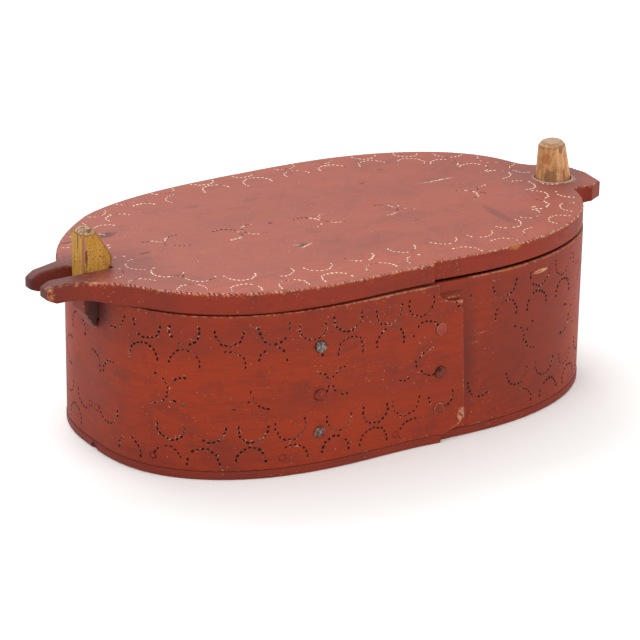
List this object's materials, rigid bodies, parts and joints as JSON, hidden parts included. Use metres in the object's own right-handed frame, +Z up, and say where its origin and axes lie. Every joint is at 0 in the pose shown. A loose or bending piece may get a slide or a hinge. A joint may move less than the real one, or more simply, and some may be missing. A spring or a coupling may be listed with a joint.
{
  "type": "bentwood box",
  "caption": "Oval bentwood box: a bent band nailed where it laps itself, a base board let up into it, and a flat lid that a peg holds at one end and a springy carved catch at the other.",
  "frame": {"origin": "on the underside of the base board, where the oval's long and short axes cross", "axes": "+X along the box from the catch to the peg, +Y to the back, away from the nailed lap, +Z up"},
  "size_m": [0.3688, 0.194, 0.1306],
  "materials": {
    "red_paint": "worn iron-oxide red paint, satin, on softwood",
    "lid_paint": "worn iron-oxide red paint, satin, on softwood",
    "ochre_paint": "matt ochre paint, rubbed at the edges",
    "bare_wood": "bare knife-cut wood, darkened by handling",
    "iron": "dark wrought iron, partly painted over"
  },
  "bodies": {
    "box": {"band": "red_paint", "base_board": "red_paint", "peg_post": "bare_wood", "base_peg_1": "red_paint", "base_peg_2": "red_paint", "base_peg_3": "red_paint", "base_peg_4": "red_paint", "base_peg_5": "red_paint", "base_peg_6": "red_paint", "base_peg_7": "red_paint", "base_peg_8": "red_paint", "base_peg_9": "red_paint", "base_peg_10": "red_paint", "base_peg_11": "red_paint", "base_peg_12": "red_paint", "catch_peg_1": "red_paint", "catch_peg_2": "red_paint", "post_peg_1": "red_paint", "post_peg_2": "red_paint", "lap_nail_1": "iron", "lap_nail_2": "iron", "lap_nail_3": "iron", "lap_nail_4": "iron", "lap_nail_5": "iron", "lap_nail_6": "iron"},
    "lid": {"lid": "lid_paint"},
    "catch": {"catch_post": "ochre_paint"}
  },
  "joints": [
    {"name": "lid_lift", "type": "slide", "parent": "box", "child": "lid", "axis": [0, 0, 1], "range_m": [0, 0.06]},
    {"name": "catch_spring", "type": "hinge", "parent": "box", "child": "catch", "pos_m": [-0.1478, -0.005, 0.026], "axis": [0, -1, 0], "range_deg": [0, 4], "stiffness_Nm_per_rad": 12}
  ]
}
